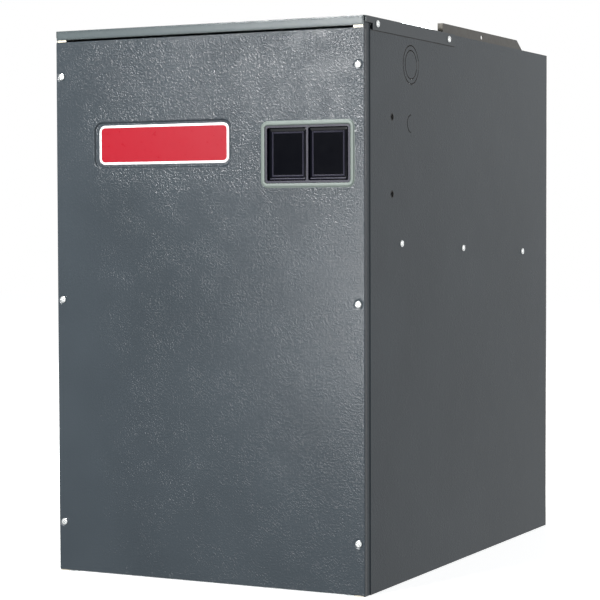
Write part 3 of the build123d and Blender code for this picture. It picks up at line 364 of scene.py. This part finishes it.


# Each material is named for what it shows, and its comment says what that gives the eye
MATERIALS = {
    # dark blue grey baked coat that sparkles along its worm shaped grain
    "cabinet_paint": textured_paint("textured_grey_enamel"),
    # the same coat on the outer side of a sheet, dull bare zinc on its inner side
    "side_sheet": textured_paint("textured_enamel_outside_zinc_inside", side_inside, 0.2),
    "back_sheet": textured_paint("textured_enamel_outside_zinc_within", back_inside),
    # the top cover's nose: smooth enamel whose rounded bend mirrors the light above, its colour painted
    # paler as a painted highlight
    "cover_nose_highlight_paint": smooth_paint("smooth_enamel_painted_bend_highlight", "4C5557", 0.24, 4.8, True),
    # flat zinc crystals, and dead black painted shade on the flange faces behind the wiring holes
    "control_plate": control_plate(),
    # the window's pressed rim: smooth and slightly greener, painted paler than the grain round it as a
    # painted highlight
    "rim_highlight_paint": smooth_paint("smooth_enamel_painted_rim_highlight", "656F6A", 0.34, 0.6),
    # cool grey crystals that differ a little in tone and gloss
    "galvanised_steel": spangled_zinc("galvanised_sheet", "8E9294", "B4B8B9"),
    # dark brownish tone on the duct flanges, low sheen
    "flange_steel": plain("bronze_brown_flange_sheet", "2A2720", 0.42, 0.5, 5.0, 0.04, 0.25),
    # crumpled bright foil that glitters in patches
    "foil_blanket": foil_facing(),
    # bright plated heads, nearly mirror like, with faint tumbling marks
    "zinc_screw": plain("bright_zinc_plate", "D5D8D8", 0.22, 1.0, 1.5, 0.01, 0.05),
    # thick glossy enamel, very slightly wavy
    "badge_enamel": plain("red_badge_enamel", "98001A", 0.30, 0.0, 9.0, 0.02, 0.04, gloss=0.18),
    "badge_border": plain("white_badge_enamel", "E9E6E8", 0.28, 0.0, 9.0, 0.02, 0.02),
    # moulded gloss black with a blue cast, softly uneven from cooling
    "black_abs": plain("gloss_black_moulding", "030409", 0.13, 0.0, 14.0, 0.05, 0.10, edge=0.9, gloss=0.04),
    # the same moulding on its raised frames, painted a lighter violet grey as a painted highlight
    "frame_highlight_abs": plain("black_moulding_painted_frame_highlight", "1B1A2A", 0.34, 0.0, 3.0, 0.05, 0.35, edge=0.4, gloss=0.25),
    # mineral filled moulding, matt and dusty
    "breaker_phenolic": plain("matt_black_phenolic", "1E1E20", 0.62, 0.0, 0.8, 0.03, 0.12),
    # the handle that a finger wears: a soft satin
    "toggle_plastic": plain("satin_black_toggle", "2A2A2B", 0.40, 0.0, 0.8, 0.02, 0.08),
    # the blower's zinc, a little darker and duller than the cabinet's
    "wheel_steel": spangled_zinc("galvanised_blower_sheet", "84888A", "A9ADAE", 0.42),
    # turned bar with fine rings round it
    "shaft_steel": plain("turned_steel", "A7A8A8", 0.28, 1.0, 0.6, 0.02, 0.10, (6, 1, 1)),
    # dipped black coat, half glossy, with a fine orange peel
    "motor_paint": plain("black_motor_enamel", "1B1B1D", 0.36, 0.0, 1.2, 0.05, 0.10),
    # sand grained casting, pale and dull
    "bell_aluminium": plain("cast_aluminium", "9C9D9E", 0.50, 1.0, 0.7, 0.08, 0.12),
    # matt moulded rubber
    "rubber_mount": plain("black_rubber", "161616", 0.75, 0.0, 0.5, 0.03, 0.15),
    # bright can with fine draw lines along it
    "capacitor_can": plain("drawn_aluminium_can", "B9BBBD", 0.30, 1.0, 0.5, 0.01, 0.06, (1, 0.05, 1)),
    # glossy green varnish with paler tracks under it
    "board_laminate": board_mask(),
    # small glossy moulded cases
    "relay_plastic": plain("blue_relay_case", "23407E", 0.35, 0.0, 2.0, 0.02, 0.05),
    "terminal_plastic": plain("green_terminal_moulding", "2E7A45", 0.42, 0.0, 1.0, 0.02, 0.06),
    # stacked steel sheets under brown varnish, fine dark joints
    "core_laminations": banded("varnished_laminations", "17120E", "4A4038", 0.7, 0.45, 0.6, "Y"),
    # wound polyester tape, each turn's edge a darker line
    "coil_tape": banded("yellow_coil_tape", "8C7420", "C9A93A", 6.0, 0.40, 0.0, "X"),
    # zinc dulled by the heat of the elements
    "heater_steel": spangled_zinc("galvanised_heater_sheet", "84888A", "A3A6A6", 0.45),
    # fired and unglazed: off white, quite matt
    "steatite": plain("unglazed_ceramic", "D9D4C8", 0.70, 0.0, 0.4, 0.04, 0.05),
    # drawn wire with the grey brown skin it gets when hot
    "nichrome": plain("oxidised_heating_wire", "6B625B", 0.46, 0.9, 0.5, 0.01, 0.15),
    # pressed brown resin with a faint mottle
    "switch_phenolic": plain("brown_phenolic", "38261E", 0.50, 0.0, 0.6, 0.03, 0.12),
}


def quads(rows, columns, round_rows=False):
    """Faces of a grid of points, row after row; with round_rows each row closes on itself."""
    last = columns if round_rows else columns - 1
    return [(r * columns + c, (r + 1) * columns + c, (r + 1) * columns + (c + 1) % columns,
             r * columns + (c + 1) % columns) for r in range(rows - 1) for c in range(last)]


def turned_over(points, faces):
    """The same patch with its faces turned the other way."""
    return points, [tuple(reversed(face)) for face in faces]


def build(name, patches, slots, body, sharp=35, replaced=()):
    """Object from patches of (points in mm, faces, index into slots), joined in one mesh."""
    points, faces, indices, start = [], [], [], 0
    for patch_points, patch_faces, index in patches:
        patch_points = np.asarray(patch_points, float).reshape(-1, 3)
        points.append(patch_points / 1000)
        faces += [tuple(start + i for i in face) for face in patch_faces]
        indices += [index] * len(patch_faces)
        start += len(patch_points)
    mesh = bpy.data.meshes.new(name)
    mesh.from_pydata(np.vstack(points).tolist(), [], faces)
    for slot_name in slots:
        mesh.materials.append(MATERIALS[slot_name])
    mesh.polygons.foreach_set("material_index", indices)
    mesh.shade_smooth()
    mesh.set_sharp_from_angle(angle=math.radians(sharp))
    made = bpy.data.objects.new(name, mesh)
    bpy.context.scene.collection.objects.link(made)
    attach(made, body)
    if replaced:
        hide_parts(*replaced)
    return made


def loop(shape, outset, steps=10):
    """Rounded rectangle as X and Z points, anticlockwise seen from the front, grown by the outset."""
    centre, size, corner = shape
    radius = max(corner + outset, 0.05)
    half = (size[0] / 2 + outset - radius, size[1] / 2 + outset - radius)
    turns = np.linspace(0, math.pi / 2, steps)
    ring = []
    for quarter, (sx, sz) in enumerate(((1, 1), (-1, 1), (-1, -1), (1, -1))):
        angle = turns + quarter * math.pi / 2
        ring.append(np.stack([centre[0] + sx * half[0] + radius * np.cos(angle),
                              centre[1] + sz * half[1] + radius * np.sin(angle)], 1))
    return np.vstack(ring)


def circle(centre, radius):
    """Circle of 40 points in X and Z, anticlockwise seen from the front."""
    angle = np.linspace(0, 2 * math.pi, 40, endpoint=False)
    return np.stack([centre[0] + radius * np.cos(angle), centre[1] + radius * np.sin(angle)], 1)


def at_depth(ring, depth):
    """The ring as points in space at a depth behind the panel's face."""
    return np.stack([ring[:, 0], np.full(len(ring), FACE + depth), ring[:, 1]], 1)


def swept(shape, profile, maker=loop):
    """Rings along a rounded outline. The profile gives each ring's outset and depth. The faces look outwards
    while the profile runs to the front, and to the front while it runs inwards."""
    rings = np.stack([at_depth(maker(shape, outset), depth) for outset, depth in profile])
    rows, columns = rings.shape[:2]
    return turned_over(rings.reshape(-1, 3), quads(rows, columns, True))


def flat_with_holes(outer, holes, depth, to_front=True):
    """Flat sheet between an outer ring and holes, at a depth, cut into triangles."""
    rings = [outer] + holes
    cut = tessellate_polygon([[Vector((x, z, 0)) for x, z in ring] for ring in rings])
    points = at_depth(np.vstack(rings), depth)
    faces = []
    for a, b, c in cut:
        pa, pb, pc = points[a], points[b], points[c]
        area = (pb[0] - pa[0]) * (pc[2] - pa[2]) - (pc[0] - pa[0]) * (pb[2] - pa[2])
        if abs(area) < 1e-9:
            continue
        front = area > 0
        faces.append((a, b, c) if front == to_front else (a, c, b))
    return points, faces


def panel_ring(inset):
    """The access panel's outline with extra points where the top and bottom folds stop."""
    shape = ((0.0, (PANEL_LOW + PANEL_HIGH) / 2), (2 * PANEL_HALF, PANEL_HIGH - PANEL_LOW), PANEL_CORNER)
    steps = 5
    ring = loop(shape, -inset, steps)
    high, low, end, stop = PANEL_HIGH - inset, PANEL_LOW + inset, FOLD_HALF, FOLD_HALF - FOLD_STEP
    top = [(end, high), (stop, high), (-stop, high), (-end, high)]
    bottom = [(-end, low), (-stop, low), (stop, low), (end, low)]
    return np.vstack([ring[:steps], top, ring[steps:3 * steps], bottom, ring[3 * steps:]])


def access_panel():
    """Pressed access panel. Its outer fold is a quarter circle of 1 mm that runs on straight to the fold's
    depth. The recess and the shallow dimples round the screws fall along a half wave. The window's rim rises
    along a half wave to a flat 2.4 mm wide, rounds over and turns in as a straight lip."""
    patches = []
    outline = panel_ring(0.0)
    across = np.abs(outline[:, 0])
    folded = (across > PANEL_HALF - PANEL_CORNER - 0.1) | (across < FOLD_HALF - FOLD_STEP / 2)
    depth = np.where(folded, FOLD, SHEET)
    rows = [(SHEET * (1 - math.sin(t)), SHEET * (1 - math.cos(t))) for t in np.linspace(0, math.pi / 2, 5)]
    rings = [at_depth(panel_ring(inset), y) for inset, y in rows]
    for inset in (0.0, SHEET):
        ring = at_depth(panel_ring(inset), 0.0)
        ring[:, 1] = FACE + depth
        rings.append(ring)
    rings.append(at_depth(panel_ring(SHEET), SHEET))
    rings = np.stack(rings)
    patches.append((rings.reshape(-1, 3), quads(rings.shape[0], rings.shape[1], True), 0))

    wave = np.linspace(0, 1, 9)
    recess_wave = [(RECESS_FALL - 2 * RECESS_FALL * t, RECESS_DEPTH * (1 - math.cos(math.pi * t)) / 2)
                   for t in wave]
    patches.append((*swept(RECESS, recess_wave), 0))
    patches.append((*flat_with_holes(loop(RECESS, -RECESS_FALL), [], RECESS_DEPTH), 0))
    rim = [(RIM_OUTSET - 2.4 * t, -RIM_RISE * (1 - math.cos(math.pi * t)) / 2) for t in wave]
    rim += [(1.2, -RIM_RISE), (0.5, -1.05), (0.12, -0.6), (0.0, 0.0), (0.0, WINDOW_LIP)]
    patches.append((*swept(WINDOW, rim), 1))
    dimples = [(x, z) for x in (-SCREWS_X, SCREWS_X) for z in SCREWS_Z]
    for centre in dimples:
        fall = [(DIMPLE_RADIUS - 1.8 * t, DIMPLE_DEPTH * (1 - math.cos(math.pi * t)) / 2) for t in wave[::2]]
        fall += [(HOLE_RADIUS, DIMPLE_DEPTH), (HOLE_RADIUS, SHEET)]
        patches.append((*swept(centre, fall, circle), 0))
    holes = [loop(RECESS, RECESS_FALL), loop(WINDOW, RIM_OUTSET)]
    holes += [circle(centre, DIMPLE_RADIUS) for centre in dimples]
    patches.append((*flat_with_holes(panel_ring(SHEET), holes, 0.0), 0))

    # the back of the sheet, with the recess standing out of it and the window's lip behind
    back = [(SHEET + outset, SHEET + depth) for outset, depth in recess_wave]
    patches.append((*turned_over(*swept(RECESS, back)), 2))
    patches.append((*flat_with_holes(loop(RECESS, SHEET - RECESS_FALL), [], SHEET + RECESS_DEPTH, False), 2))
    lip = [(SHEET, SHEET), (SHEET, WINDOW_LIP), (0.0, WINDOW_LIP)]
    patches.append((*turned_over(*swept(WINDOW, lip)), 2))
    holes = [loop(RECESS, SHEET + RECESS_FALL), loop(WINDOW, SHEET)]
    holes += [circle(centre, HOLE_RADIUS) for centre in dimples]
    patches.append((*flat_with_holes(panel_ring(SHEET), holes, SHEET, False), 2))
    return build("pressed_access_panel", patches, ["cabinet_paint", "rim_highlight_paint", "galvanised_steel"],
                 "panel", 50, ["access_panel"])


def badge():
    """Blank enamelled plate: a rounded edge of 0.5 mm, a white border 3.4 mm wide and a red field."""
    thickness, border = 1.4, 3.4
    front, rear = RECESS_DEPTH - thickness, RECESS_DEPTH - 0.02
    edge = [(0.0, rear), (0.0, front + 0.5), (-0.15, front + 0.15), (-0.5, front), (-border, front)]
    field = loop(BADGE, -border)
    return build("badge", [(*swept(BADGE, edge), 0), (*flat_with_holes(field, [], front), 1)],
                 ["badge_border", "badge_enamel"], "panel", 40, ["badge_plate"])


def breaker_cover(name, centre_x, body):
    """Snap-in cover. A flat border lies inside the rounded edge, a frame rises 0.8 mm along a half wave and
    falls 0.6 mm to the inner field, and a half round finger ledge of 1.2 mm runs along the lower border."""
    play, bar = 0.4, 3.0               # round the frame and each cover; width of the window frame's bars
    width = (WINDOW[1][0] - play - 3 * bar) / 2 - play
    height = WINDOW[1][1] - play - 2 * bar - play
    shape = ((centre_x, WINDOW[0][1]), (width, height), 2.3)
    wave = np.linspace(0, 1, 7)
    face, rear = 2.2, 8.2
    border, crest, field = 5.2, 6.2, 7.4
    edge = [(0.0, rear), (0.0, face + 0.6), (-0.2, face + 0.2), (-0.7, face), (-border, face)]
    rise = [(-border - 1.0 * t, face - 0.4 * (1 - math.cos(math.pi * t))) for t in wave]
    fall = [(-crest - 1.2 * t, face - 0.8 + 0.3 * (1 - math.cos(math.pi * t))) for t in wave]
    # the raised frames and the finger ledge take the paler moulding: a painted highlight
    patches = [(*swept(shape, edge), 0), (*swept(shape, rise), 1), (*swept(shape, fall), 1),
               (*flat_with_holes(loop(shape, -field), [], face - 0.2), 0)]
    turn = np.linspace(0, math.pi, 9)
    low, reach, round_ledge = WINDOW[0][1] - height / 2 + 2.4, width / 2 - 3, 1.2
    ledge = np.stack([np.stack([np.full(len(turn), x), FACE + face - round_ledge * np.sin(turn),
                                low + round_ledge * np.cos(turn)], 1)
                      for x in (centre_x - reach, centre_x + reach)])
    patches.append((*turned_over(ledge.reshape(-1, 3), quads(2, len(turn))), 1))
    wall, floor_depth = 1.5, face + 2.0
    back = [(-wall, floor_depth), (-wall, rear), (0.0, rear)]
    patches.append((*turned_over(*swept(shape, back)), 0))
    patches.append((*flat_with_holes(loop(shape, -wall), [], floor_depth, False), 0))
    return build(name, patches, ["black_abs", "frame_highlight_abs"], body, 40, ["breaker_" + body])


def screw_head(seat, outward, across, turn):
    """Pan head screw. The head is a polar grid whose height falls from the centre as a flat oval, the root
    of 1 - r^4 with r from 0 to 1, and drops by the slot's depth inside two crossing slots with tapered
    walls. A round shank and a pointed end follow on the same grid."""
    radii = np.concatenate([np.linspace(0, 2.9, 16), np.linspace(3.1, HEAD_RADIUS, 10)])
    angles = np.linspace(0, 2 * math.pi, 64, endpoint=False)
    r, a = np.meshgrid(radii, angles, indexing="ij")
    u, v = r * np.cos(a + turn), r * np.sin(a + turn)
    height = HEAD_SKIRT + HEAD_RISE * (1 - (r / HEAD_RADIUS) ** 4) ** 0.5
    slot = np.minimum(np.maximum(np.abs(u) / SLOT_HALF, np.abs(v) / SLOT_REACH),
                      np.maximum(np.abs(v) / SLOT_HALF, np.abs(u) / SLOT_REACH))
    height = height - SLOT_DEPTH * np.clip((1.35 - slot) / 0.5, 0, 1)
    rim = np.stack([HEAD_RADIUS * np.cos(angles + turn), HEAD_RADIUS * np.sin(angles + turn)], 1)
    out, side = np.array(outward, float), np.array(across, float)
    up = np.cross(out, side)
    grid = u[..., None] * side + v[..., None] * up + height[..., None] * out
    skirt = rim[:, :1] * side + rim[:, 1:] * up
    seat = np.array(seat, float)
    rings = np.concatenate([grid, skirt[None]]) + seat
    round_shank = np.outer(SHANK_RADIUS * np.cos(angles), side) + np.outer(SHANK_RADIUS * np.sin(angles), up)
    shank = [round_shank - depth * out + seat for depth in (0.0, SHANK_LENGTH)]
    tip = np.repeat((seat - TIP * out)[None], len(angles), 0)
    rings = np.concatenate([rings, np.stack(shank), tip[None]])
    return rings.reshape(-1, 3), quads(len(rings), len(angles), True)


def screws(name, places, body, replaced):
    """A set of screws in one object; places holds seat, outward and across directions."""
    patches = [(*screw_head(*place, turn=0.7 * i), 0) for i, place in enumerate(places)]
    return build(name, patches, ["zinc_screw"], body, 35, [replaced])


def coil_elements():
    """Open coils of round wire. Each wire follows a helix along Y with a pitch of about 5.2 mm, and its
    section is a circle laid square to the helix."""
    patches = []
    turns, per_turn, around = 52, 18, 6
    coil_radius, wire_radius = 5.3, 0.7
    t = np.linspace(0, turns * 2 * math.pi, turns * per_turn + 1)
    start, length = HEATER_FRONT - 9.2, 271.2
    for z0 in (560.0, 640.0):
        for x0 in (-90.0, -30.0, 30.0, 90.0):
            along = start + length * t / t[-1]
            path = np.stack([x0 + coil_radius * np.cos(t), along, z0 + coil_radius * np.sin(t)], 1)
            outward = np.stack([np.cos(t), 0 * t, np.sin(t)], 1)
            way = np.gradient(path, axis=0)
            way /= np.linalg.norm(way, axis=1)[:, None]
            third = np.cross(way, outward)
            turn = np.linspace(0, 2 * math.pi, around, endpoint=False)
            rings = path[:, None] + wire_radius * (np.cos(turn)[None, :, None] * outward[:, None]
                                                   + np.sin(turn)[None, :, None] * third[:, None])
            patches.append((rings.reshape(-1, 3), quads(len(t), around, True), 0))
    return build("heating_coils", patches, ["nichrome"], "cabinet", 60, ["heating_elements"])


def deeper_lip():
    """Top cover with its front lip drawn deeper, as photographed. Each point of the CAD cover keeps its
    place, but those of the lip's lower edge, near the front and low down, go down by the lip drop."""
    source = frame["nodes"]["top_front_cover"]
    mesh = source.data.copy()
    points = np.empty(3 * len(mesh.vertices), np.float32)
    mesh.vertices.foreach_get("co", points)
    points = points.reshape(-1, 3)
    edge = (points[:, 1] < (FACE + LIP_BEND) / 1000) & (points[:, 2] < LIP_UNDER / 1000)
    points[edge, 2] -= LIP_DROP / 1000
    mesh.vertices.foreach_set("co", points.ravel())
    mesh.update()
    made = bpy.data.objects.new("top_cover_with_lip", mesh)
    made.matrix_world = source.matrix_world
    bpy.context.scene.collection.objects.link(made)
    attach(made, "cabinet")
    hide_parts("top_front_cover")


def paint_cad():
    """Every CAD node that still shows gets the material of its slot."""
    slots = {s["node"]: s["material_slot"] for s in frame["record"]["subparts"]}
    special = {"top_front_cover": "cover_nose_highlight_paint", "side_panel_right": "side_sheet",
               "side_panel_left": "side_sheet", "back_panel": "back_sheet", "breaker_bezel": "frame_highlight_abs",
               "control_panel": "control_plate"}
    for name, made in frame["nodes"].items():
        made.data.materials.clear()
        made.data.materials.append(MATERIALS[special.get(name, slots[name])])


def camera():
    """Camera fitted to the cabinet's seven corners in a 600 by 600 picture."""
    azimuth, pitch, roll = (math.radians(turn) for turn in CAMERA_TURNS)
    forward = Vector((-math.sin(azimuth) * math.cos(pitch), math.cos(azimuth) * math.cos(pitch),
                      math.sin(pitch)))
    right = Vector((math.cos(azimuth), math.sin(azimuth), 0))
    up = right.cross(forward)
    level = math.cos(roll) * right + math.sin(roll) * up
    upright = math.cos(roll) * up - math.sin(roll) * right
    data = bpy.data.cameras.new("camera")
    data.sensor_width, data.lens = 36.0, 36.0 * FOCAL / PICTURE
    data.clip_start, data.clip_end = 0.1, 30.0
    made = bpy.data.objects.new("camera", data)
    made.matrix_world = Matrix.Translation(CAMERA_PLACE) @ Matrix(
        (level, upright, -forward)).transposed().to_4x4()
    bpy.context.scene.collection.objects.link(made)
    bpy.context.scene.camera = made


def area_light(name, place, target, size, power):
    """Square soft light that looks at a point."""
    data = bpy.data.lights.new(name, "AREA")
    data.size, data.energy = size, power
    made = bpy.data.objects.new(name, data)
    made.location = place
    made.rotation_mode = "QUATERNION"
    made.rotation_quaternion = (Vector(target) - Vector(place)).to_track_quat("-Z", "Y")
    bpy.context.scene.collection.objects.link(made)


def seen_white(tree):
    """1 for the rays that show the background: from the camera, mirrored, or through glass."""
    rays = node(tree, "ShaderNodeLightPath").outputs
    return maths(tree, "MAXIMUM", rays["Is Camera Ray"],
                 maths(tree, "MAXIMUM", rays["Is Glossy Ray"], rays["Is Transmission Ray"]))


def floor():
    """Plain pale floor under the base. It is white where it is seen and keeps the object's shadow, throws
    back little light at the object, and is clear from below."""
    material, tree, _ = new_material("pale_floor")
    pale = node(tree, "ShaderNodeBsdfDiffuse", {"Color": (0.75, 0.75, 0.75, 1)})
    glow = node(tree, "ShaderNodeEmission", {"Color": (1, 1, 1, 1), "Strength": 0.76})
    white = node(tree, "ShaderNodeAddShader", {0: pale.outputs[0], 1: glow.outputs[0]})
    dim = node(tree, "ShaderNodeBsdfDiffuse", {"Color": (0.25, 0.25, 0.25, 1)})
    even = node(tree, "ShaderNodeEmission", {"Color": (1, 1, 1, 1), "Strength": 1.0})
    mirrored = node(tree, "ShaderNodeMixShader", {0: seen_white(tree), 1: dim.outputs[0],
                                                  2: even.outputs[0]})
    direct = node(tree, "ShaderNodeLightPath").outputs["Is Camera Ray"]
    above = node(tree, "ShaderNodeMixShader", {0: direct, 1: mirrored.outputs[0], 2: white.outputs[0]})
    clear = node(tree, "ShaderNodeBsdfTransparent")
    below = node(tree, "ShaderNodeNewGeometry").outputs["Backfacing"]
    both = node(tree, "ShaderNodeMixShader", {0: below, 1: above.outputs[0], 2: clear.outputs[0]})
    node(tree, "ShaderNodeOutputMaterial", {"Surface": both.outputs[0]})
    mesh = bpy.data.meshes.new("floor")
    corners = ((-1, -1), (1, -1), (1, 1), (-1, 1))
    mesh.from_pydata([(FLOOR_HALF * x, FLOOR_HALF * y, FLOOR_HEIGHT) for x, y in corners], [],
                     [(0, 1, 2, 3)])
    mesh.materials.append(material)
    made = bpy.data.objects.new("floor", mesh)
    bpy.context.scene.collection.objects.link(made)


def surroundings():
    """White where it is seen, mirrored or seen through glass, and an even light grey as light. The lamps
    stand round the object."""
    world = bpy.data.worlds.new("studio")
    bpy.context.scene.world = world
    world.use_nodes = True
    tree = world.node_tree
    tree.nodes.clear()
    seen = seen_white(tree)
    even = node(tree, "ShaderNodeBackground", {"Color": (0.80, 0.83, 0.85, 1), "Strength": 0.38})
    white = node(tree, "ShaderNodeBackground", {"Color": (1, 1, 1, 1), "Strength": 1.0})
    both = node(tree, "ShaderNodeMixShader", {0: seen, 1: even.outputs[0], 2: white.outputs[0]})
    node(tree, "ShaderNodeOutputWorld", {"Surface": both.outputs[0]})
    for lamp in LAMPS:
        area_light(*lamp)


paint_cad()
deeper_lip()
access_panel()
badge()
breaker_cover("cover_moulding_left", WINDOW[0][0] - COVER_STEP, "cover_left")
breaker_cover("cover_moulding_right", WINDOW[0][0] + COVER_STEP, "cover_right")
screws("panel_screws", [((x, FACE + DIMPLE_DEPTH, z), (0, -1, 0), (1, 0, 0))
                        for x in (-SCREWS_X, SCREWS_X) for z in SCREWS_Z], "panel", "access_panel_screws")
screws("deck_screw_set", [((s * DECK_SEAT, FACE + depth, z), (s, 0, 0), (0, s, 0))
                          for s in (1, -1) for depth, z in DECK_SCREWS], "cabinet", "deck_screws")
screws("cover_screw_set", [((s * COVER_SEAT, FACE + depth, COVER_HEIGHT), (s, 0, 0), (0, s, 0))
                           for s in (1, -1) for depth in COVER_DEPTHS], "cabinet", "top_cover_screws")
screws("back_screw_set", [((s * BACK_X, BACK_FACE, z), (0, 1, 0), (-1, 0, 0))
                          for s in (1, -1) for z in BACK_HEIGHTS], "cabinet", "back_screws")
coil_elements()
surroundings()
floor()
camera()
bpy.context.scene.view_settings.view_transform = "Standard"
